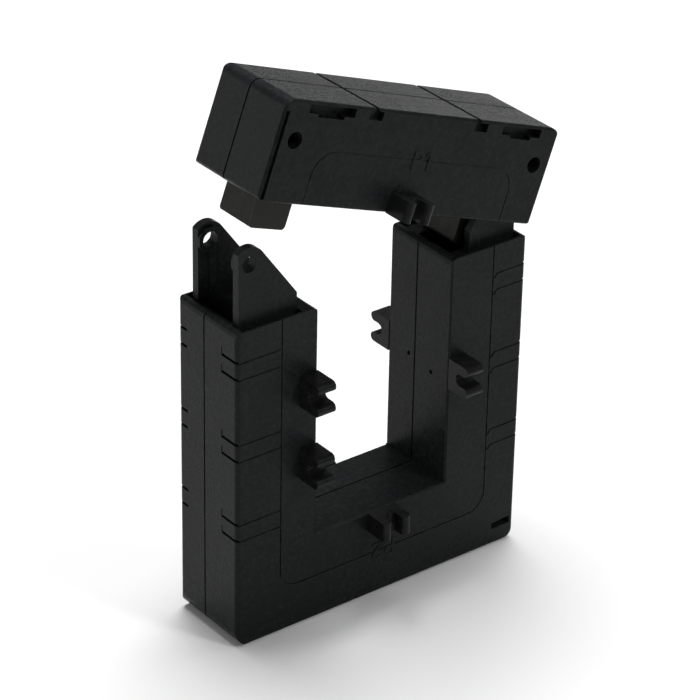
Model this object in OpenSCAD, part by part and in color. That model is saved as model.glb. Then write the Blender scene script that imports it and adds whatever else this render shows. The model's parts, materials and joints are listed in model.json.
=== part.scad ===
/* [Body] */
// Width across both limbs
body_w = 114; // [110:1:124]
// Depth from the front face to the rear face
body_d = 31; // [30:0.5:35]
// Height of the limb tops
body_h = 114; // [104:1:130]
// Width of each limb
limb_w = 30.7; // [30:0.1:33]
// Height of the base under the window
base_h = 32; // [31:0.5:36]
// Wall thickness of the moulded halves
wall = 2.6; // [2.2:0.1:2.8]
// Share of the depth taken by the front half
front_share = 0.548; // [0.53:0.002:0.57]
// Radius of the lower outer corners
corner_r = 5.8; // [5:0.1:6.2]
// Radius of the limb tops' outer corners
limb_top_r = 2; // [1.6:0.1:2.4]
// Radius of the limb tops' corners beside the window
limb_in_r = 2.3; // [1.8:0.1:2.6]
// Radius of the body's upright edges
body_edge_r = 1.5; // [1.2:0.1:1.8]
// Size of the small bevel round the window
window_bevel = 0.6; // [0.4:0.05:0.7]

/* [Ears] */
// Thickness of each ear
ear_t = 2.8; // [2.4:0.1:3]
// Distance from the face back to the ear
ear_in = 3.6; // [3.4:0.1:3.8]
// Height of the ear bores above the limb tops
bore_z = 20.2; // [19:0.1:21]
// Distance of the locking bore from the outer side
lock_x = 7.1; // [6.8:0.1:7.4]
// Radius of the locking bore
lock_r = 2.7; // [2.5:0.1:3.1]
// Distance of the hinge bore from the outer side
hinge_x = 6.5; // [6.2:0.1:6.8]
// Radius of the hinge bore
hinge_r = 2.2; // [1.8:0.1:2.4]
// Radius of the left ears' rounded end
lock_ear_r = 5.7; // [5.3:0.1:6]
// Radius of the right ears' rounded end
hinge_ear_r = 4.1; // [3.8:0.1:4.3]
// Distance from the outer side to the left ears' edge
lock_edge = 3; // [3:0.1:3.4]
// Distance from the outer side to the right ears' edge
hinge_edge = 2.7; // [2.6:0.1:3]
// Height of the ears' wide foot
ear_foot_h = 5.4; // [5:0.1:6]
// Depth of the ledge around the ears
ledge_h = 2; // [1.5:0.1:2.4]
// Lip left round the ledge
ledge_lip = 0.7; // [0.5:0.1:0.9]

/* [Yoke] */
// Height of the yoke housing
yoke_h = 32.5; // [32:0.5:36]
// Radius of the housing's lower corners
yoke_low_r = 2; // [1.5:0.1:2.4]
// Radius of the housing's upper corners
yoke_top_r = 3.5; // [3:0.1:4]
// How far the housing stands proud of the body, front and rear
yoke_lap = 0.8; // [0.5:0.1:1.2]
// Opening angle of the yoke as shown
open_deg = 20.2; // [0:0.1:28]
// Travel of the housing on its pins for each degree of opening
lift_rate = 0.411; // [0.4:0.001:0.42]
// Slope of the hidden pin slots in the housing
slot_tilt = 52.5; // [51:0.1:54]
// Length of the left recess in the housing's upper edge
recess_left = 18.3; // [17:0.1:19]
// Length of the right recess in the housing's upper edge
recess_right = 16.8; // [16:0.1:18]
// Distance from the left side to the left recess
recess_left_in = 9.2; // [8.8:0.1:9.8]
// Distance from the right side to the right recess
recess_right_in = 7.8; // [7.4:0.1:8.4]
// Height of the recesses
recess_h = 3.8; // [3.4:0.1:4]
// Depth of the recesses
recess_deep = 2.4; // [2:0.1:2.5]
// Distance from the left side to the left groove across the top
groove_left = 36; // [34.5:0.1:37]
// Distance from the right side to the right groove across the top
groove_right = 35.2; // [34.5:0.1:37]
// Width of the grooves across the top
groove_w = 1.7; // [1.3:0.1:2]
// Depth of the grooves across the top
groove_deep = 1.9; // [1.5:0.1:2.1]
// Width of the notch at each end of a groove
notch_w = 5.4; // [5:0.1:6]
// Depth of the notches
notch_deep = 1.4; // [1.2:0.1:1.6]

/* [Lines and marks] */
// Distance from the left side to the contour line
contour_left = 16.6; // [16:0.1:17.4]
// Distance from the right side to the contour line
contour_right = 13.4; // [13:0.1:14.5]
// Height of the contour line above the underside
contour_z = 16; // [15:0.1:17]
// Radius of the contour line's corners
contour_r = 7; // [6:0.1:8]
// Distance from the left side to the housing's contour line
yoke_line_left = 17; // [16.5:0.1:18]
// Distance from the right side to the housing's contour line
yoke_line_right = 13.6; // [13:0.1:14.5]
// Height of the housing's contour line above its lower edge
yoke_line_z = 18; // [17:0.1:19]
// Radius of the housing's contour line's corners
yoke_line_r = 8.5; // [7:0.1:9]
// Width of the contour lines
line_w = 0.5; // [0.4:0.1:0.7]
// Depth of the contour and parting lines
line_deep = 0.4; // [0.3:0.1:0.5]
// Distance from the limb tops down to the first band
band_drop = 10.1; // [9.5:0.1:10.5]
// Distance between the two bands of a pair
band_gap = 5.9; // [5.5:0.1:6.5]
// Distance from one pair of bands to the next
band_pitch = 28.9; // [28:0.1:29.5]
// Width of the band lines
band_w = 1; // [0.8:0.1:1.4]
// Depth of the band lines on the outer sides
band_deep = 1; // [0.7:0.1:1.2]
// Depth of the band lines on the faces
band_face = 0.3; // [0.2:0.05:0.4]
// Width of the seam between the halves
seam_w = 0.7; // [0.5:0.1:0.9]
// Distance from the right side to the wire slot
outlet_in = 1.9; // [1.6:0.1:2.2]
// Length of the wire slot
outlet_w = 7.7; // [7:0.1:8]
// Height of the wire slot above the underside
outlet_z = 6.2; // [5.8:0.1:6.6]
// Height of the wire slot's opening at its wide end
outlet_h = 2.8; // [2.4:0.1:3]
// Height of the housing's mark above its lower edge
yoke_mark_z = 14.3; // [13.6:0.1:15]
// Height of the body's mark above the underside
body_mark_z = 19.2; // [18.5:0.1:20]

/* [Core] */
// Width of a core leg
leg_w = 14.4; // [13:0.2:15]
// Thickness of the lamination stack in a body of the usual depth
stack_d = 15; // [13:0.5:15.5]
// Distance from the outer side to the core leg
leg_in = 7.2; // [7.1:0.1:7.6]
// How far the yoke legs reach below the housing
leg_reach = 11.2; // [10:0.1:12]

/* [Winding] */
// Wall thickness of the bobbins
bobbin_t = 1; // [0.8:0.1:1.1]
// Build of the winding on its bobbin
coil_t = 2.6; // [2:0.1:2.7]

/* [Clips] */
// Reach of a clip beyond the face
clip_reach = 9.4; // [8.8:0.1:10]
// Length of a clip along the window edge
clip_len = 11; // [10.6:0.1:11.8]
// Width of a clip across the face
clip_w = 6.7; // [6:0.1:7.2]
// Height of the upper left clip above the window's middle
clip_step = 13; // [11:0.5:15]

/* [Hidden] */
$fn = 64;
part_y = body_d * front_share;
seat_gap = 0.3;
side_gap = 0.3;
press_gap = 0.05;
core_gap = 0.2;
core_room = 0.65;
pocket_gap = 1.8;
swing_room = 2.2;
ear_root = 1.6;
usual_d = 31;
core_d = stack_d + body_d - usual_d;
core_y = (body_d - core_d) / 2;
core_z = (base_h - leg_w) / 2;
core_top = body_h - leg_reach;
bar_z = (yoke_h - leg_w) / 2;
pocket_out = leg_in - pocket_gap;
pocket_in = leg_in + leg_w + pocket_gap;
block_z = core_top - wall;
mid_z = (base_h + body_h) / 2;
bay = pocket_in + ear_root + 5;
slot_len = 30 * lift_rate;
shoe_l = 6;
shoe_w = 4;
shoe_t = 2.2;
cheek = ear_in - side_gap;
pin_x = body_w - hinge_x;
pin_z = body_h + bore_z;
pin_up = bore_z - seat_gap;
grooves = [groove_left, body_w - groove_right];
recesses = [[recess_left_in, recess_left], [body_w - recess_right_in - recess_right, recess_right]];
end_slot_x = 0.6;
end_slot_z = 0.8;
end_slot_w = 1.4;
end_slot_deep = 1.2;
shoe_gap = 0.1;
mark_l = 10;
mark_step = 5.6;
mark_up = 0.3;
end_t = 2;
thin_t = 1.2;
bobbin_top = block_z - 0.8;
rim_t = 1.2;
boss_r = 4.3;
boss_t = core_y - core_room - ear_in - ear_t;
boss_rib = 2;
band_turn = 2.4;
step_in = 4;
roof_t = 0.9;
leg_r = 1.5;
end_lip = limb_top_r + 0.4;
yoke_line_deep = 0.2;
step_h = 1;
notch_shift = [0, 1.3];
clip_up = 0.4;
tip_r = 1.7;
slot_r = 2.1;
slot_in = 3.6;
mark_scale = 0.9;
rib_step = 17;
rib_t = 3;
pole_gap = 0.6;
pole_x = [corner_r + 4.6, corner_r + 1.7];
carrier_w = 6.4;
pole_t = 1;
pole_z = core_z - 3.4;
peg_r = 1.6;
peg_l = 2.2;
cut = 1;
tick_y = 7.8;
rear_band = 4.7;
bands = [for (pair = [0:2], step = [0, 1]) body_h - band_drop - pair * band_pitch - step * band_gap];

module at_body() {
    translate([-body_w / 2, -body_d / 2, 0]) children();
}

module at_yoke() {
    travel = lift_rate * open_deg;
    at_body() translate([pin_x, 0, pin_z]) rotate([0, open_deg, 0])
        translate([travel * cos(slot_tilt) - pin_x, 0, travel * sin(slot_tilt) - pin_up]) children();
}

module both_sides() {
    children();
    translate([body_w, 0, 0]) mirror([1, 0, 0]) children();
}

module both_faces() {
    children();
    translate([0, body_d, 0]) mirror([0, 1, 0]) children();
}

module along_y(y0, y1) {
    translate([0, y1, 0]) rotate([90, 0, 0]) linear_extrude(y1 - y0) children();
}

module outline(w, h, r_low, r_top) {
    translate([r_low, 0]) square([w - 2 * r_low, h - r_top]);
    translate([0, r_low]) square([w, h - r_low - r_top]);
    translate([r_top, h / 2]) square([w - 2 * r_top, h / 2]);
    for (x = [r_low, w - r_low]) translate([x, r_low]) circle(r_low);
    for (x = [r_top, w - r_top]) translate([x, h - r_top]) circle(r_top);
}

module soft_block(w, d, h, r_low, r_top, r_edge, r_rim) {
    intersection() {
        along_y(0, d) outline(w, h, r_low, r_top);
        linear_extrude(h) outline(w, d, r_edge, r_edge);
        rotate([90, 0, 90]) linear_extrude(w) outline(d, h, r_edge, r_rim);
    }
}

module letter_p() {
    square([0.9, 7]);
    translate([0, 6.1]) square([2.1, 0.9]);
    translate([0, 3]) square([2.1, 0.9]);
    translate([2.1, 5]) difference() {
        circle(2);
        circle(1.1);
        translate([-3, -3]) square([3, 6]);
    }
}

module digit_1() {
    translate([1.4, 0]) square([0.9, 7]);
    polygon([[0, 5.2], [1.4, 6.3], [1.4, 7], [0, 6]]);
}

module digit_2() {
    square([4.2, 0.9]);
    polygon([[0, 0.9], [1.2, 0.9], [4, 4.3], [3.2, 4.9]]);
    translate([2.1, 5]) difference() {
        circle(2);
        circle(1.1);
        translate([-3, -3]) square([3.2, 3.4]);
        translate([-3, -3]) square([6, 2.4]);
    }
}

module left_ear() {
    foot = [pocket_in + ear_root, ear_foot_h];
    r = lock_ear_r;
    run = lock_x - foot[0];
    rise = bore_z - foot[1];
    reach = sqrt(run * run + rise * rise);
    aim = atan2(rise, run) - asin(r / reach);
    touch = sqrt(reach * reach - r * r);
    translate([0, 0, body_h]) difference() {
        intersection() {
            union() {
                along_y(ear_in, ear_in + ear_t) {
                    translate([lock_x, bore_z]) circle(r);
                    polygon([[lock_edge, -2 * ledge_h], [foot[0], -2 * ledge_h], foot,
                        foot + touch * [cos(aim), sin(aim)], [lock_x, bore_z], [lock_x - r, bore_z]]);
                }
                along_y(ear_in + ear_t - cut / 2, ear_in + ear_t + boss_t) {
                    translate([lock_x, bore_z]) circle(boss_r);
                    translate([lock_x, -2 * ledge_h]) square([boss_rib, bore_z + 2 * ledge_h]);
                }
            }
            translate([lock_edge, 0, -2 * ledge_h]) cube([bay, body_d, bore_z + 2 * ledge_h + r]);
        }
        translate([lock_x, ear_in - cut, bore_z]) rotate([-90, 0, 0])
            cylinder(r = lock_r, h = ear_t + boss_t + 2 * cut);
    }
}

module right_ear() {
    foot = [body_w - pocket_in + 2.4, ear_foot_h];
    r = hinge_ear_r;
    run = pin_x - foot[0];
    rise = bore_z - foot[1];
    reach = sqrt(run * run + rise * rise);
    aim = atan2(rise, run) + asin(r / reach);
    touch = sqrt(reach * reach - r * r);
    translate([0, 0, body_h]) difference() {
        along_y(ear_in, ear_in + ear_t) intersection() {
            union() {
                translate([pin_x, bore_z]) circle(r);
                polygon([[body_w - hinge_edge, -2 * ledge_h], [foot[0], -2 * ledge_h], foot,
                    foot + touch * [cos(aim), sin(aim)], [pin_x, bore_z], [body_w - hinge_edge, bore_z]]);
            }
            translate([0, -2 * ledge_h]) square([body_w - hinge_edge, bore_z + 2 * ledge_h + r]);
        }
        translate([pin_x, ear_in - cut, bore_z]) rotate([-90, 0, 0])
            cylinder(r = hinge_r, h = ear_t + 2 * cut);
    }
}

module limb_shape(inset) {
    difference() {
        translate([inset, inset])
            outline(body_w - 2 * inset, body_h - inset, corner_r - inset, limb_top_r);
        translate([limb_w - inset, base_h - inset])
            square([body_w - 2 * limb_w + 2 * inset, body_h]);
    }
}

module contour_line() {
    w = body_w - contour_left - contour_right;
    along_y(-cut, line_deep) difference() {
        translate([contour_left, contour_z]) outline(w, body_h, contour_r, line_w);
        translate([contour_left + line_w, contour_z + line_w])
            outline(w - 2 * line_w, body_h, contour_r - line_w, line_w);
    }
}

module window_cut() {
    w = body_w - 2 * limb_w;
    along_y(-cut, body_d + cut) {
        translate([limb_w, base_h]) square([w, body_h]);
        difference() {
            translate([limb_w - limb_in_r, body_h - limb_in_r]) square([w + 2 * limb_in_r, limb_in_r + cut]);
            for (x = [limb_w - limb_in_r, body_w - limb_w + limb_in_r])
                translate([x, body_h - limb_in_r]) circle(limb_in_r);
        }
    }
    side = window_bevel * sqrt(2);
    both_faces() {
        for (x = [limb_w, body_w - limb_w]) translate([x, 0, base_h]) rotate([0, 0, 45])
            translate([-side / 2, -side / 2, 0]) cube([side, side, body_h]);
        translate([limb_w, 0, base_h]) rotate([45, 0, 0])
            translate([0, -side / 2, -side / 2]) cube([w, side, side]);
    }
}

module side_bands() {
    for (z = bands) translate([-cut, 0, z - band_w / 2]) {
        translate([0, -cut, 0]) cube([cut + band_deep, cut + tick_y + line_w, band_w]);
        translate([0, body_d - rear_band, 0]) cube([cut + band_deep, rear_band + cut, band_w]);
        translate([0, tick_y, 0]) cube([cut + band_deep, line_w, 3 * band_w]);
    }
}

module face_bands() {
    turn_x = body_w - contour_right + band_turn;
    along_y(-cut, band_face) for (z = bands) {
        translate([-cut, z - band_w / 2]) square([cut + contour_left, band_w]);
        translate([turn_x, z - band_w / 2]) square([body_w - turn_x + cut, band_w]);
        translate([turn_x, z + band_w / 2 - band_turn]) intersection() {
            difference() {
                circle(band_turn);
                circle(band_turn - band_w);
            }
            translate([-band_turn, 0]) square(band_turn);
        }
    }
}

module core_ribs() {
    for (step = [-1:1]) translate([body_w / 2 + step * rib_step - rib_t / 2, wall / 2, wall / 2]) {
        cube([rib_t, body_d - wall, core_z - wall / 2]);
        cube([rib_t, core_y - wall / 2, core_z + leg_w - wall / 2]);
        translate([0, body_d - wall / 2 - core_y, 0])
            cube([rib_t, core_y - wall / 2, core_z + leg_w - wall / 2]);
    }
}

module clip_pegs(r, sink) {
    for (z = [mid_z - clip_step, mid_z + clip_step])
        translate([limb_w - clip_w / 2, 0, z + clip_up]) rotate([-90, 0, 0]) cylinder(r = r, h = sink);
    translate([body_w - limb_w + clip_w / 2, 0, mid_z]) rotate([-90, 0, 0]) cylinder(r = r, h = sink);
    translate([body_w / 2, 0, base_h - clip_w / 2]) rotate([-90, 0, 0]) cylinder(r = r, h = sink);
}

module body_solid() {
    difference() {
        union() {
            difference() {
                soft_block(body_w, body_d, body_h, corner_r, limb_top_r, body_edge_r, 0.3);
                window_cut();
                along_y(wall, body_d - wall) intersection() {
                    limb_shape(wall);
                    square([body_w, block_z]);
                }
                translate([end_lip, ledge_lip, body_h - ledge_h])
                    cube([pocket_in + ear_root - end_lip, body_d - 2 * ledge_lip, ledge_h + cut]);
                translate([body_w - limb_w + end_lip, ledge_lip, body_h - ledge_h])
                    cube([limb_w - 2 * end_lip, body_d - 2 * ledge_lip, ledge_h + cut]);
            }
            core_ribs();
            both_faces() {
                left_ear();
                right_ear();
            }
        }
        translate([pocket_out, core_y - core_room, block_z - cut])
            cube([pocket_in - pocket_out, core_d + 2 * core_room, body_h]);
        translate([body_w - pocket_in - swing_room, core_y - core_room, block_z - cut])
            cube([pocket_in + swing_room - pocket_out, core_d + 2 * core_room, body_h]);
        both_faces() {
            contour_line();
            face_bands();
            translate([0, -cut, 0]) clip_pegs(peg_r + press_gap, cut + peg_l + 0.2);
        }
        both_sides() side_bands();
        for (spot = [[8.9, -3.4], [20.4, -1.6]])
            translate([body_w - limb_w - cut, spot[0], mid_z + spot[1]]) rotate([0, 90, 0])
                cylinder(r = 0.8, h = 2 * cut);
    }
}

module body_front_shell() {
    color([0.13, 0.135, 0.14]) at_body() {
        difference() {
            intersection() {
                body_solid();
                translate([-cut, -cut, -cut]) cube([body_w + 2 * cut, part_y + cut, body_h + yoke_h]);
            }
            along_y(-cut, wall + cut) translate([body_w - outlet_in - outlet_w, outlet_z])
                polygon([[0, 0], [outlet_w, 0], [outlet_w, outlet_h], [0, 0.8 * outlet_h]]);
        }
        translate([body_w / 2 + mark_l / 2 + 0.6, 0, body_mark_z]) rotate([0, 180, 0]) scale(mark_scale)
            along_y(-mark_up, mark_up) {
            letter_p();
            translate([mark_step, 0]) digit_2();
        }
    }
}

module body_rear_shell() {
    color([0.13, 0.135, 0.14]) at_body() difference() {
        body_solid();
        translate([-cut, -cut, -cut]) cube([body_w + 2 * cut, part_y + cut, body_h + yoke_h]);
        along_y(part_y - cut, part_y + seam_w) difference() {
            translate([-cut, -cut]) square([body_w + 2 * cut, body_h + cut]);
            limb_shape(line_deep);
        }
    }
}

module lower_core() {
    color([0.42, 0.42, 0.4]) at_body() along_y(core_y, core_y + core_d) difference() {
        translate([leg_in, core_z]) square([body_w - 2 * leg_in, core_top - core_z]);
        translate([leg_in + leg_w, core_z + leg_w])
            square([body_w - 2 * leg_in - 2 * leg_w, body_h]);
    }
}

module sleeve(grow, z, h) {
    translate([leg_in - grow, core_y - grow, z]) cube([leg_w + 2 * grow, core_d + 2 * grow, h]);
}

module bobbin() {
    foot = core_z + leg_w;
    rim = core_gap + bobbin_t + coil_t + 0.4;
    difference() {
        union() {
            sleeve(core_gap + bobbin_t, foot, bobbin_top - foot);
            sleeve(rim, foot, rim_t);
            sleeve(rim, bobbin_top - rim_t, rim_t);
        }
        sleeve(core_gap, foot - 1, body_h);
    }
}

module winding() {
    foot = core_z + leg_w + rim_t;
    difference() {
        sleeve(core_gap + bobbin_t + coil_t, foot, bobbin_top - rim_t - foot);
        sleeve(core_gap + bobbin_t, foot - 1, body_h);
    }
}

module bobbin_left() {
    color([0.85, 0.84, 0.78]) at_body() bobbin();
}

module bobbin_right() {
    color([0.85, 0.84, 0.78]) at_body() translate([body_w, 0, 0]) mirror([1, 0, 0]) bobbin();
}

module winding_left() {
    color([0.62, 0.3, 0.13]) at_body() winding();
}

module winding_right() {
    color([0.62, 0.3, 0.13]) at_body() translate([body_w, 0, 0]) mirror([1, 0, 0]) winding();
}

module link_lead() {
    start = leg_in + leg_w + core_gap + bobbin_t + coil_t;
    color([0.7, 0.12, 0.1]) at_body() translate([start, body_d / 2, core_z + leg_w + 2 * rim_t])
        rotate([0, 90, 0]) cylinder(r = 0.6, h = body_w - 2 * start);
}

module secondary_leads() {
    top = core_z + leg_w;
    color([0.75, 0.75, 0.72]) at_body() for (x = pole_x)
        translate([body_w - x, core_y - 2, pole_z + pole_t]) cylinder(r = 0.6, h = top - pole_z - pole_t);
}

module terminal_carrier() {
    color([0.2, 0.2, 0.21]) at_body() difference() {
        translate([body_w - corner_r - carrier_w, core_y - pole_gap, wall])
            cube([carrier_w, 6, core_z - pole_gap - wall]);
        for (x = pole_x) translate([body_w - x - pole_t / 2, core_y - cut, pole_z])
            cube([pole_t, 6 + cut, pole_t]);
    }
}

module terminal_pins() {
    color([0.78, 0.62, 0.3]) at_body() for (x = pole_x)
        translate([body_w - x - pole_t / 2, wall + 0.4, pole_z]) cube([pole_t, core_y - wall + 3.6, pole_t]);
}

module clip() {
    translate([clip_w / 2, 0, 0]) rotate([90, 0, -90]) linear_extrude(clip_w) difference() {
        union() {
            translate([0, -clip_len / 2]) square([clip_reach - tip_r, clip_len]);
            for (side = [-1, 1]) translate([clip_reach - tip_r, side * (clip_len / 2 - tip_r)]) circle(tip_r);
        }
        translate([clip_reach - slot_in, 0]) circle(slot_r);
        translate([clip_reach - slot_in, -slot_r]) square([slot_in + cut, 2 * slot_r]);
    }
    rotate([-90, 0, 0]) cylinder(r = peg_r, h = peg_l);
}

module clip_at(x, z, turn, rear) {
    translate([0, rear ? body_d : 0, 0]) mirror([0, rear ? 1 : 0, 0])
        translate([x, 0, z]) rotate([0, turn, 0]) clip();
}

module clip_front_left_upper() {
    color([0.06, 0.06, 0.065]) at_body() clip_at(limb_w - clip_w / 2, mid_z + clip_step + clip_up, 0, false);
}

module clip_front_left_lower() {
    color([0.06, 0.06, 0.065]) at_body() clip_at(limb_w - clip_w / 2, mid_z - clip_step + clip_up, 0, false);
}

module clip_front_right() {
    color([0.06, 0.06, 0.065]) at_body() clip_at(body_w - limb_w + clip_w / 2, mid_z, 0, false);
}

module clip_front_base() {
    color([0.06, 0.06, 0.065]) at_body() clip_at(body_w / 2, base_h - clip_w / 2, 90, false);
}

module clip_rear_left_upper() {
    color([0.06, 0.06, 0.065]) at_body() clip_at(limb_w - clip_w / 2, mid_z + clip_step + clip_up, 0, true);
}

module clip_rear_left_lower() {
    color([0.06, 0.06, 0.065]) at_body() clip_at(limb_w - clip_w / 2, mid_z - clip_step + clip_up, 0, true);
}

module clip_rear_right() {
    color([0.06, 0.06, 0.065]) at_body() clip_at(body_w - limb_w + clip_w / 2, mid_z, 0, true);
}

module clip_rear_base() {
    color([0.06, 0.06, 0.065]) at_body() clip_at(body_w / 2, base_h - clip_w / 2, 90, true);
}

module hinge_pins() {
    color([0.3, 0.3, 0.31]) at_body() both_faces() translate([pin_x, 0, pin_z]) {
        translate([0, cheek - shoe_t, 0]) rotate([0, open_deg - slot_tilt, 0])
            translate([-shoe_l / 2, 0, -shoe_w / 2]) cube([shoe_l, shoe_t, shoe_w]);
        translate([0, cheek - 0.1, 0]) rotate([-90, 0, 0])
            cylinder(r = hinge_r - press_gap, h = ear_t + 2 * side_gap + 0.1);
        translate([0, ear_in + ear_t + side_gap, 0]) rotate([-90, 0, 0]) cylinder(r = 2.9, h = 0.7);
    }
}

module yoke_shape(inset) {
    translate([inset, inset]) outline(body_w - 2 * inset, yoke_h - 2 * inset,
        yoke_low_r - inset, yoke_top_r - inset);
}

module yoke_ribs() {
    for (step = [-1:1]) translate([body_w / 2 + step * rib_step - rib_t / 2, 0, wall / 2]) {
        cube([rib_t, body_d, bar_z - wall / 2]);
        cube([rib_t, core_y, bar_z + leg_w - wall / 2]);
        translate([0, body_d - core_y, 0]) cube([rib_t, core_y, bar_z + leg_w - wall / 2]);
    }
}

module yoke_contour() {
    w = body_w - yoke_line_left - yoke_line_right;
    along_y(-yoke_lap - cut, yoke_line_deep - yoke_lap) difference() {
        translate([yoke_line_left, -yoke_line_z]) outline(w, 2 * yoke_line_z, line_w, yoke_line_r);
        translate([yoke_line_left + line_w, -yoke_line_z - line_w])
            outline(w - 2 * line_w, 2 * yoke_line_z, line_w, yoke_line_r - line_w);
    }
}

module yoke_solid() {
    difference() {
        union() {
            difference() {
                translate([0, -yoke_lap, 0])
                    soft_block(body_w, body_d + 2 * yoke_lap, yoke_h, yoke_low_r, yoke_top_r, 0.9, 0.9);
                translate([bay - cut, wall - yoke_lap, wall])
                    cube([body_w - 2 * bay + 2 * cut, body_d + 2 * yoke_lap - 2 * wall, yoke_h - 2 * wall]);
                both_sides() translate([end_t, cheek, -cut])
                    cube([bay - end_t, body_d - 2 * cheek, yoke_h - wall + cut]);
                both_sides() both_faces() translate([thin_t, cheek, -cut])
                    cube([end_t, ear_t + boss_t + 2 * side_gap, yoke_h - wall + cut]);
            }
            yoke_ribs();
        }
        both_faces() {
            yoke_contour();
            for (x = [lock_x, pin_x]) translate([x, -yoke_lap - cut, pin_up]) rotate([-90, 0, 0])
                cylinder(r = lock_r, h = cheek + yoke_lap + 2 * cut);
            translate([pin_x, cheek - shoe_t - 2 * shoe_gap, pin_up]) rotate([0, -slot_tilt, 0])
                translate([-slot_len - shoe_l / 2 - 2 * shoe_gap, 0, -shoe_w / 2 - shoe_gap])
                cube([slot_len + shoe_l + 4 * shoe_gap, shoe_t + 6 * shoe_gap, shoe_w + 2 * shoe_gap]);
            for (spot = recesses) {
                translate([spot[0], -yoke_lap - cut, yoke_h - recess_h])
                    cube([spot[1], cut + yoke_lap + recess_deep, recess_h - roof_t]);
                translate([spot[0] + step_in, -yoke_lap - cut, yoke_h - recess_h - step_h])
                    cube([spot[1] - 2 * step_in, cut + yoke_lap + recess_deep, step_h + cut]);
            }
            for (i = [0, 1])
                translate([grooves[i] + notch_shift[i] - notch_w / 2, -yoke_lap - cut, yoke_h - recess_h])
                cube([notch_w, cut + yoke_lap + notch_deep, recess_h - roof_t]);
            translate([body_w / 2, -yoke_lap - cut, clip_w / 2]) rotate([-90, 0, 0])
                cylinder(r = peg_r + press_gap, h = cut + peg_l + 0.2);
        }
        translate([end_slot_x, -yoke_lap - cut, end_slot_z])
            cube([end_slot_w, cut + end_slot_deep, yoke_h - recess_h - end_slot_z]);
        for (x = grooves) translate([x - groove_w / 2, -yoke_lap - cut, yoke_h - groove_deep])
            cube([groove_w, body_d + 2 * yoke_lap + 2 * cut, groove_deep + cut]);
    }
}

module yoke_front_half() {
    translate([-cut, -yoke_lap - cut, -cut])
        cube([body_w + 2 * cut, yoke_lap + part_y + cut, yoke_h + 2 * cut]);
}

module yoke_front_shell() {
    color([0.13, 0.135, 0.14]) at_yoke() {
        intersection() {
            yoke_solid();
            yoke_front_half();
        }
        translate([body_w / 2 - mark_l / 10, -yoke_lap, yoke_mark_z]) scale(mark_scale)
            along_y(-mark_up, mark_up) {
            letter_p();
            translate([mark_step, 0]) digit_1();
        }
    }
}

module yoke_rear_shell() {
    color([0.13, 0.135, 0.14]) at_yoke() difference() {
        yoke_solid();
        yoke_front_half();
        along_y(part_y - cut, part_y + seam_w) difference() {
            translate([-cut, -cut]) square([body_w + 2 * cut, yoke_h + 2 * cut]);
            yoke_shape(line_deep);
        }
    }
}

module yoke_core() {
    color([0.42, 0.42, 0.4]) at_yoke() along_y(core_y, core_y + core_d) {
        translate([leg_in, bar_z]) square([body_w - 2 * leg_in, leg_w]);
        for (x = [leg_in, body_w - leg_in - leg_w]) translate([x, -leg_reach]) {
            translate([0, leg_r]) square([leg_w, leg_reach + bar_z - leg_r + cut]);
            translate([leg_r, 0]) square([leg_w - 2 * leg_r, leg_r + cut]);
            for (side = [leg_r, leg_w - leg_r]) translate([side, leg_r]) circle(leg_r);
        }
    }
}

module clip_front_yoke() {
    color([0.06, 0.06, 0.065]) at_yoke() translate([0, -yoke_lap, 0])
        clip_at(body_w / 2, clip_w / 2, 90, false);
}

module clip_rear_yoke() {
    color([0.06, 0.06, 0.065]) at_yoke() translate([0, yoke_lap, 0])
        clip_at(body_w / 2, clip_w / 2, 90, true);
}

body_front_shell();
body_rear_shell();
lower_core();
bobbin_left();
bobbin_right();
winding_left();
winding_right();
link_lead();
secondary_leads();
terminal_carrier();
terminal_pins();
clip_front_left_upper();
clip_front_left_lower();
clip_front_right();
clip_front_base();
clip_rear_left_upper();
clip_rear_left_lower();
clip_rear_right();
clip_rear_base();
hinge_pins();
yoke_front_shell();
yoke_rear_shell();
yoke_core();
clip_front_yoke();
clip_rear_yoke();
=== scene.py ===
import json
import math

import bmesh
import bpy
from mathutils import Matrix, Vector

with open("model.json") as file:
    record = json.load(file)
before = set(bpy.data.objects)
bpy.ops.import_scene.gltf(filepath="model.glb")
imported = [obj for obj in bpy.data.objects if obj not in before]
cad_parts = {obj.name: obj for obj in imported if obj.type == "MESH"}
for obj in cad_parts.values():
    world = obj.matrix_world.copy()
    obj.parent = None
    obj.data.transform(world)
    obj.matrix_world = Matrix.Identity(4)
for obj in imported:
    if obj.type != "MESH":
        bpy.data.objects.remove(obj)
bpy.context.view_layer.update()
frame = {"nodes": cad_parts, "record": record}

nodes = frame["nodes"]
print("packed model loaded,", len(nodes), "pieces")

# camera at the photograph's viewing angle

cameraValues = {
    "lens": 166.27,
    "sensor": 36,
    "clip": (0.05, 30),
    "azimuth": 38.11,  # degrees, seen from the front left
    "elevation": 29.26,
    "roll": -1.16,
    "target": (0.0, 0.00033, 0.07125),  # a point inside the window
    "targetSeen": (0.000968, 0.010328, 1.03212),  # where the camera has it: right, down, ahead
}


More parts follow.
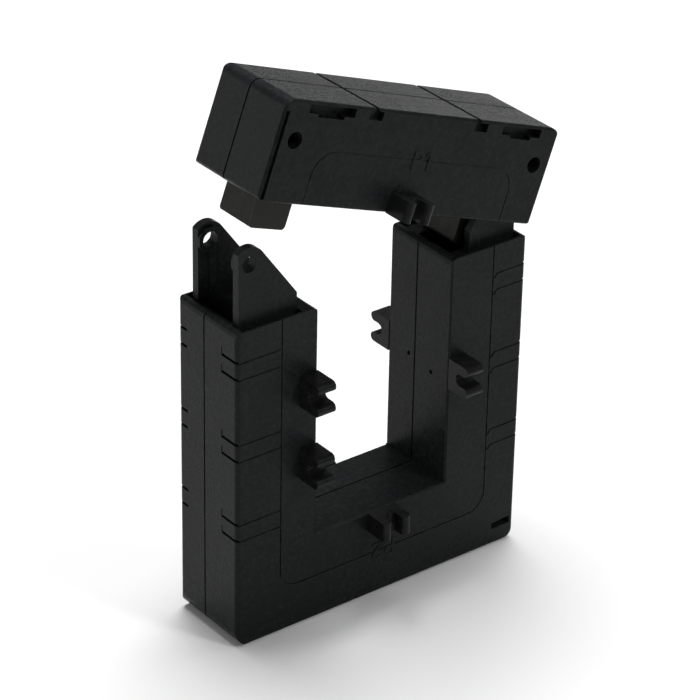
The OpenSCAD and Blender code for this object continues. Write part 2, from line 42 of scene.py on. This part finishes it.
def makeCamera(values):
    azimuth, elevation = math.radians(values["azimuth"]), math.radians(values["elevation"])
    roll = math.radians(values["roll"])
    level = math.cos(elevation)
    ahead = Vector((math.sin(azimuth) * level, math.cos(azimuth) * level, -math.sin(elevation)))
    levelRight = ahead.cross(Vector((0, 0, 1))).normalized()
    levelDown = ahead.cross(levelRight)
    right = levelRight * math.cos(roll) + levelDown * math.sin(roll)
    down = levelDown * math.cos(roll) - levelRight * math.sin(roll)
    seen = values["targetSeen"]
    place = Vector(values["target"]) - right * seen[0] - down * seen[1] - ahead * seen[2]
    data = bpy.data.cameras.new("studioCamera")
    data.lens = values["lens"]
    data.sensor_width = values["sensor"]
    data.clip_start, data.clip_end = values["clip"]
    camera = bpy.data.objects.new("studioCamera", data)
    bpy.context.scene.collection.objects.link(camera)
    turn = Matrix((right, -down, -ahead)).transposed().to_4x4()
    camera.matrix_world = Matrix.Translation(place) @ turn
    bpy.context.scene.camera = camera


makeCamera(cameraValues)
print("camera placed")

# studio: a pale floor, three soft lamps and an even world

floorValues = {"half": 4.0, "colour": (0.90, 0.90, 0.90, 1), "roughness": 0.9, "specular": 0.1}
lampAim = Vector((0, 0, 0.08))  # all lamps point at the body's middle
lampValues = {
    "keyLamp": {"place": (0.50, -1.15, 1.10), "size": 0.30, "power": 6.5},
    "topLamp": {"place": (0.25, 0.35, 1.5), "size": 1.1, "power": 25.0},
    "sideLamp": {"place": (-1.15, 1.05, 0.35), "size": 1.0, "power": 4.5},
}
worldValues = {"colour": (1, 1, 1, 1), "strength": 0.20}


def makeFloor(values):
    mesh = bpy.data.meshes.new("studioFloor")
    shape = bmesh.new()
    bmesh.ops.create_grid(shape, x_segments=1, y_segments=1, size=values["half"])
    shape.to_mesh(mesh)
    shape.free()
    floor = bpy.data.objects.new("studioFloor", mesh)
    bpy.context.scene.collection.objects.link(floor)
    material = bpy.data.materials.new("paleFloor")
    material.use_nodes = True
    shader = material.node_tree.nodes["Principled BSDF"]
    shader.inputs["Base Color"].default_value = values["colour"]
    shader.inputs["Roughness"].default_value = values["roughness"]
    shader.inputs["Specular IOR Level"].default_value = values["specular"]
    mesh.materials.append(material)


def makeLamps(values, aim):
    for name, lamp in values.items():
        data = bpy.data.lights.new(name, "AREA")
        data.shape = "DISK"
        data.size = lamp["size"]
        data.energy = lamp["power"]
        thing = bpy.data.objects.new(name, data)
        bpy.context.scene.collection.objects.link(thing)
        thing.location = lamp["place"]
        way = aim - Vector(lamp["place"])
        thing.rotation_euler = way.to_track_quat("-Z", "Y").to_euler()


def makeWorld(values):
    world = bpy.data.worlds.new("paleRoom")
    bpy.context.scene.world = world
    world.use_nodes = True
    tree = world.node_tree
    light = tree.nodes["Background"]
    light.inputs["Color"].default_value = values["colour"]
    light.inputs["Strength"].default_value = values["strength"]
    backdrop = tree.nodes.new("ShaderNodeBackground")
    path = tree.nodes.new("ShaderNodeLightPath")
    pick = tree.nodes.new("ShaderNodeMixShader")
    tree.links.new(path.outputs["Is Camera Ray"], pick.inputs[0])
    tree.links.new(light.outputs[0], pick.inputs[1])
    tree.links.new(backdrop.outputs[0], pick.inputs[2])
    tree.links.new(pick.outputs[0], tree.nodes["World Output"].inputs["Surface"])


makeFloor(floorValues)
makeLamps(lampValues, lampAim)
makeWorld(worldValues)
bpy.context.scene.view_settings.view_transform = "Standard"
print("studio ready")

# node helpers


def feed(tree, value, socket):  # a socket is linked, a plain value is set
    if isinstance(value, bpy.types.NodeSocket):
        tree.links.new(value, socket)
    else:
        socket.default_value = value


def addMath(tree, kind, *values):
    node = tree.nodes.new("ShaderNodeMath")
    node.operation = kind
    for value, socket in zip(values, node.inputs):
        feed(tree, value, socket)
    return node.outputs[0]


def addShares(tree, *pairs):  # each pair is a value and its share
    total = None
    for value, share in pairs:
        part = addMath(tree, "MULTIPLY", value, share)
        total = part if total is None else addMath(tree, "ADD", total, part)
    return total


def addRange(tree, value, ends):
    node = tree.nodes.new("ShaderNodeMapRange")
    node.interpolation_type = "SMOOTHSTEP"
    node.inputs["From Min"].default_value, node.inputs["From Max"].default_value = ends
    tree.links.new(value, node.inputs["Value"])
    return node.outputs["Result"]


def addNoise(tree, vector, scale, detail=2.0, roughness=0.5):
    node = tree.nodes.new("ShaderNodeTexNoise")
    chosen = {"Vector": vector, "Scale": scale, "Detail": detail, "Roughness": roughness}
    for label, value in chosen.items():
        feed(tree, value, node.inputs[label])
    return node.outputs["Fac"]


def addMix(tree, factor, first, second):
    node = tree.nodes.new("ShaderNodeMix")
    node.data_type = "RGBA"
    tree.links.new(factor, node.inputs["Factor"])
    colours = [socket for socket in node.inputs if socket.type == "RGBA"]
    for value, socket in zip((first, second), colours):
        feed(tree, (*value, 1) if isinstance(value, tuple) else value, socket)
    return next(socket for socket in node.outputs if socket.type == "RGBA")


def startGroup(name, inputs, outputs):
    group = bpy.data.node_groups.new(name, "ShaderNodeTree")
    for label, kind in inputs.items():
        group.interface.new_socket(name=label, in_out="INPUT", socket_type=kind)
    for label in outputs:
        group.interface.new_socket(name=label, in_out="OUTPUT", socket_type="NodeSocketFloat")
    return group, group.nodes.new("NodeGroupInput").outputs, group.nodes.new("NodeGroupOutput").inputs


def placeGroup(tree, group, **values):
    node = tree.nodes.new("ShaderNodeGroup")
    node.node_tree = group
    for label, value in values.items():
        feed(tree, value, node.inputs[label])
    return node.outputs


# shared surface effects

edgeWearAndHighlightValues = {
    "samples": 6,
    "turn": (0.995, 0.86),  # how far the softened normal leaves the real one
    "broken": (0.35, 0.68),
    "detail": 4.0,
}


# edge mask from the softened normal; on the plastics it mixes in a lighter colour that is part real edge
# wear and part painted highlight along the edges
def makeEdgeWearAndHighlight(values):
    inputs = {"Vector": "NodeSocketVector", "Width": "NodeSocketFloat", "Breakup": "NodeSocketFloat"}
    group, start, end = startGroup("edgeWearAndHighlight", inputs, ["Mask"])
    soft = group.nodes.new("ShaderNodeBevel")
    soft.samples = values["samples"]
    group.links.new(start["Width"], soft.inputs["Radius"])
    surface = group.nodes.new("ShaderNodeNewGeometry")
    dot = group.nodes.new("ShaderNodeVectorMath")
    dot.operation = "DOT_PRODUCT"
    group.links.new(soft.outputs[0], dot.inputs[0])
    group.links.new(surface.outputs["Normal"], dot.inputs[1])
    edge = addRange(group, dot.outputs["Value"], values["turn"])
    patches = addNoise(group, start["Vector"], start["Breakup"], values["detail"])
    broken = addRange(group, patches, values["broken"])
    group.links.new(addMath(group, "MULTIPLY", edge, broken), end["Mask"])
    return group


mouldGrainValues = {
    "coarseScale": 0.28, "flowScale": 0.012,  # shares of the grain's own scale
    "fineDetail": 3.0, "fineRoughness": 0.6,
    "fineHeight": 0.65, "coarseHeight": 0.35, "flowHeight": 0.25,
    "coarseTone": 0.55, "flowTone": 0.45,
}


def makeMouldGrain(values):
    inputs = {"Vector": "NodeSocketVector", "Scale": "NodeSocketFloat"}
    group, start, end = startGroup("mouldGrain", inputs, ["Height", "Mottle"])
    place, scale = start["Vector"], start["Scale"]
    fine = addNoise(group, place, scale, values["fineDetail"], values["fineRoughness"])
    coarse = addNoise(group, place, addMath(group, "MULTIPLY", scale, values["coarseScale"]))
    flow = addNoise(group, place, addMath(group, "MULTIPLY", scale, values["flowScale"]))
    height = addShares(
        group, (fine, values["fineHeight"]), (coarse, values["coarseHeight"]), (flow, values["flowHeight"])
    )
    mottle = addShares(group, (flow, values["flowTone"]), (coarse, values["coarseTone"]))
    group.links.new(height, end["Height"])
    group.links.new(mottle, end["Mottle"])
    return group


scuffValues = {
    "turn": (0.5, 0.4, 0.7), "stretch": (1.0, 14.0, 1.6),
    "detail": 5.0, "roughness": 0.65, "streak": (0.66, 0.74),
    "patchScale": 38, "patchDetail": 1.0, "patch": (0.5, 0.62),
}


def makeScuffs(values):
    inputs = {"Vector": "NodeSocketVector", "Density": "NodeSocketFloat"}
    group, start, end = startGroup("scuffs", inputs, ["Mask"])
    turn = group.nodes.new("ShaderNodeMapping")
    turn.inputs["Rotation"].default_value = values["turn"]
    turn.inputs["Scale"].default_value = values["stretch"]
    group.links.new(start["Vector"], turn.inputs["Vector"])
    drawn = addNoise(group, turn.outputs[0], start["Density"], values["detail"], values["roughness"])
    patches = addNoise(group, start["Vector"], values["patchScale"], values["patchDetail"])
    streak, patch = addRange(group, drawn, values["streak"]), addRange(group, patches, values["patch"])
    group.links.new(addMath(group, "MULTIPLY", streak, patch), end["Mask"])
    return group


stripeValues = {
    "bow": (0.0, 0.45),  # the part of a sheet's width that its rounded edge takes up
    "sheetTone": 0.45, "blotchTone": 0.6,
    "blotchScale": 320, "blotchDetail": 3.0,
}


def makeStripes(values):
    inputs = {"Place": "NodeSocketFloat", "Pitch": "NodeSocketFloat", "Vector": "NodeSocketVector"}
    group, start, end = startGroup("stripes", inputs, ["Height", "Tone"])
    step = addMath(group, "DIVIDE", start["Place"], start["Pitch"])
    acrossStripe = addMath(group, "MULTIPLY_ADD", addMath(group, "FRACT", step), 2.0, -1.0)
    bow = addMath(group, "SUBTRACT", 1.0, addMath(group, "ABSOLUTE", acrossStripe))
    group.links.new(addRange(group, bow, values["bow"]), end["Height"])
    random = group.nodes.new("ShaderNodeTexWhiteNoise")
    random.noise_dimensions = "1D"
    group.links.new(addMath(group, "FLOOR", step), random.inputs["W"])
    blotch = addNoise(group, start["Vector"], values["blotchScale"], values["blotchDetail"])
    tone = addShares(group, (random.outputs["Value"], values["sheetTone"]), (blotch, values["blotchTone"]))
    group.links.new(tone, end["Tone"])
    return group


edgeWearAndHighlight = makeEdgeWearAndHighlight(edgeWearAndHighlightValues)
mouldGrain = makeMouldGrain(mouldGrainValues)
scuffs = makeScuffs(scuffValues)
stripes = makeStripes(stripeValues)
print("surface effects built")

# what every finish starts and ends with


def startMaterial(name):
    material = bpy.data.materials.new(name)
    material.use_nodes = True
    tree = material.node_tree
    place = tree.nodes.new("ShaderNodeTexCoord").outputs["Object"]
    return material, tree, tree.nodes["Principled BSDF"], place


def addBump(tree, shader, height, values):
    bump = tree.nodes.new("ShaderNodeBump")
    bump.inputs["Strength"].default_value = values["bump"]
    bump.inputs["Distance"].default_value = values["bumpDepth"]
    tree.links.new(height, bump.inputs["Height"])
    tree.links.new(bump.outputs[0], shader.inputs["Normal"])


# plastics: the housing halves, clips, bobbins and small mouldings


def makePlastic(name, values):
    material, tree, shader, place = startMaterial(name)
    grain = placeGroup(tree, mouldGrain, Vector=place, Scale=values["grainScale"])
    edge = placeGroup(tree, edgeWearAndHighlight, Vector=place, Width=values["edgeWidth"], Breakup=values["edgeBreakup"])
    marks = placeGroup(tree, scuffs, Vector=place, Density=values["scuffDensity"])
    tone = addRange(tree, grain["Mottle"], values["toneEnds"])
    colour = addMix(tree, tone, values["dark"], values["light"])
    rub = addMath(tree, "MULTIPLY", marks["Mask"], values["scuffShare"])
    colour = addMix(tree, rub, colour, values["rubbedAndHighlight"])
    # lighter colour along the edges: part real rubbed wear, part painted highlight
    edgeWornAndLit = addMath(tree, "MULTIPLY", edge["Mask"], values["edgeWearAndHighlightShare"])
    colour = addMix(tree, edgeWornAndLit, colour, values["rubbedAndHighlight"])
    tree.links.new(colour, shader.inputs["Base Color"])
    rough = addMath(tree, "MULTIPLY_ADD", tone, values["roughSpread"], values["roughness"])
    polish = addMath(tree, "MULTIPLY", edge["Mask"], values["edgePolish"])
    scratched = addMath(tree, "MULTIPLY", rub, values["scuffRoughness"])
    rough = addMath(tree, "ADD", addMath(tree, "SUBTRACT", rough, polish), scratched)
    tree.links.new(rough, shader.inputs["Roughness"])
    shader.inputs["Specular IOR Level"].default_value = values["specular"]
    addBump(tree, shader, grain["Height"], values)
    return material


# the rubbed colour serves real scuff marks and, along the edges, also a painted highlight
shellValues = {
    "dark": (0.0092, 0.0099, 0.0102), "light": (0.0140, 0.0149, 0.0154), "rubbedAndHighlight": (0.032, 0.034, 0.034),
    "toneEnds": (0.38, 0.62), "roughness": 0.22, "roughSpread": 0.07, "specular": 0.058,
    "grainScale": 2100.0, "bump": 0.6, "bumpDepth": 0.00024,
    "edgeWidth": 0.0007, "edgeBreakup": 350.0, "edgeWearAndHighlightShare": 0.55, "edgePolish": 0.04,
    "scuffDensity": 90.0, "scuffShare": 0.30, "scuffRoughness": 0.2,
}
clipValues = {
    "dark": (0.0085, 0.0088, 0.0092), "light": (0.0132, 0.0137, 0.0142), "rubbedAndHighlight": (0.024, 0.025, 0.025),
    "toneEnds": (0.38, 0.62), "roughness": 0.26, "roughSpread": 0.08, "specular": 0.09,
    "grainScale": 1100.0, "bump": 0.22, "bumpDepth": 0.00012,
    "edgeWidth": 0.0005, "edgeBreakup": 350.0, "edgeWearAndHighlightShare": 0.6, "edgePolish": 0.04,
    "scuffDensity": 160.0, "scuffShare": 0.3, "scuffRoughness": 0.2,
}
bobbinValues = {
    "dark": (0.55, 0.52, 0.43), "light": (0.68, 0.65, 0.56), "rubbedAndHighlight": (0.74, 0.72, 0.66),
    "toneEnds": (0.38, 0.62), "roughness": 0.5, "roughSpread": 0.1, "specular": 0.4,
    "grainScale": 1500.0, "bump": 0.2, "bumpDepth": 0.0001,
    "edgeWidth": 0.0004, "edgeBreakup": 350.0, "edgeWearAndHighlightShare": 0.4, "edgePolish": 0.05,
    "scuffDensity": 120.0, "scuffShare": 0.15, "scuffRoughness": 0.2,
}
carrierValues = dict(clipValues, roughness=0.42, dark=(0.016, 0.017, 0.018), light=(0.025, 0.026, 0.027))
sleeveValues = dict(
    bobbinValues, dark=(0.30, 0.022, 0.018), light=(0.42, 0.034, 0.026), rubbedAndHighlight=(0.5, 0.09, 0.07)
)

# the cores' varnished sheets, seen on edge


def makeCoreSteel(name, values):
    material, tree, shader, place = startMaterial(name)
    split = tree.nodes.new("ShaderNodeSeparateXYZ")
    tree.links.new(place, split.inputs[0])
    sheets = placeGroup(tree, stripes, Place=split.outputs["Y"], Vector=place, Pitch=values["sheet"])
    edge = placeGroup(tree, edgeWearAndHighlight, Vector=place, Width=values["edgeWidth"], Breakup=values["edgeBreakup"])
    grain = placeGroup(tree, mouldGrain, Vector=place, Scale=values["grainScale"])
    tone = addRange(tree, sheets["Tone"], values["toneEnds"])
    colour = addMix(tree, tone, values["varnish"], values["steel"])
    colour = addMix(tree, edge["Mask"], colour, values["bare"])
    tree.links.new(colour, shader.inputs["Base Color"])
    rough = addMath(tree, "MULTIPLY_ADD", tone, values["roughSpread"], values["roughness"])
    tree.links.new(rough, shader.inputs["Roughness"])
    shader.inputs["Metallic"].default_value = values["metallic"]
    shader.inputs["Specular IOR Level"].default_value = values["specular"]
    height = addMath(tree, "MULTIPLY_ADD", grain["Height"], values["grainHeight"], sheets["Height"])
    addBump(tree, shader, height, values)
    return material


coreValues = {
    "sheet": 0.0005,
    "varnish": (0.0052, 0.0051, 0.0036), "steel": (0.0170, 0.0160, 0.0105), "bare": (0.040, 0.038, 0.029),
    "toneEnds": (0.25, 0.8), "roughness": 0.5, "roughSpread": 0.15, "metallic": 0.2, "specular": 0.27,
    "grainScale": 1800.0, "grainHeight": 0.8, "bump": 0.5, "bumpDepth": 0.00010,
    "edgeWidth": 0.0006, "edgeBreakup": 500.0,
}

# the windings: rows of enamelled wire


def makeWound(name, values):
    material, tree, shader, place = startMaterial(name)
    split = tree.nodes.new("ShaderNodeSeparateXYZ")
    tree.links.new(place, split.inputs[0])
    turns = placeGroup(tree, stripes, Place=split.outputs["Z"], Vector=place, Pitch=values["pitch"])
    tone = addRange(tree, turns["Tone"], values["toneEnds"])
    tree.links.new(addMix(tree, tone, values["dark"], values["light"]), shader.inputs["Base Color"])
    rough = addMath(tree, "MULTIPLY_ADD", tone, values["roughSpread"], values["roughness"])
    tree.links.new(rough, shader.inputs["Roughness"])
    shader.inputs["Metallic"].default_value = 1.0
    shader.inputs["Coat Weight"].default_value = values["coat"]
    addBump(tree, shader, turns["Height"], values)
    return material


copperValues = {
    "pitch": 0.0008,
    "dark": (0.33, 0.10, 0.035), "light": (0.55, 0.20, 0.08), "toneEnds": (0.2, 0.8),
    "roughness": 0.28, "roughSpread": 0.12, "coat": 0.4, "bump": 0.8, "bumpDepth": 0.0002,
}

# bare metals: tinned wire, brass and pin steel


def makeMetal(name, values):
    material, tree, shader, place = startMaterial(name)
    grain = placeGroup(tree, mouldGrain, Vector=place, Scale=values["grainScale"])
    edge = placeGroup(tree, edgeWearAndHighlight, Vector=place, Width=values["edgeWidth"], Breakup=values["edgeBreakup"])
    tone = addRange(tree, grain["Mottle"], values["toneEnds"])
    colour = addMix(tree, tone, values["dark"], values["light"])
    tree.links.new(addMix(tree, edge["Mask"], colour, values["bare"]), shader.inputs["Base Color"])
    rough = addMath(tree, "MULTIPLY_ADD", tone, values["roughSpread"], values["roughness"])
    tree.links.new(rough, shader.inputs["Roughness"])
    shader.inputs["Metallic"].default_value = 1.0
    addBump(tree, shader, grain["Height"], values)
    return material


tinnedValues = {
    "dark": (0.42, 0.42, 0.40), "light": (0.62, 0.62, 0.60), "bare": (0.75, 0.75, 0.73),
    "toneEnds": (0.35, 0.65), "roughness": 0.25, "roughSpread": 0.16,
    "grainScale": 1600.0, "bump": 0.2, "bumpDepth": 0.00006,
    "edgeWidth": 0.0003, "edgeBreakup": 600.0,
}
brassValues = dict(
    tinnedValues, dark=(0.46, 0.30, 0.09), light=(0.66, 0.46, 0.17), bare=(0.78, 0.60, 0.30), roughness=0.24
)
pinValues = dict(
    tinnedValues, dark=(0.17, 0.17, 0.17), light=(0.30, 0.30, 0.30), bare=(0.5, 0.5, 0.5),
    roughness=0.3, grainScale=1400.0,
)

finishes = {
    "shell_plastic": makePlastic("mouldedShell", shellValues),
    "clip_plastic": makePlastic("glossyClip", clipValues),
    "bobbin_plastic": makePlastic("bobbinMoulding", bobbinValues),
    "carrier_plastic": makePlastic("terminalMoulding", carrierValues),
    "lead_sleeve": makePlastic("redSleeve", sleeveValues),
    "core_steel": makeCoreSteel("coreSteel", coreValues),
    "winding_wire": makeWound("enamelledCopper", copperValues),
    "lead_wire": makeMetal("tinnedWire", tinnedValues),
    "terminal_brass": makeMetal("terminalBrass", brassValues),
    "pin_steel": makeMetal("oiledSteel", pinValues),
}

slotOf = {part["node"]: part["material_slot"] for part in frame["record"]["subparts"]}
for name, node in nodes.items():
    if not node.material_slots:
        node.data.materials.append(None)
    for place in node.material_slots:
        place.material = finishes[slotOf[name]]
print("finishes placed on", len(nodes), "pieces")
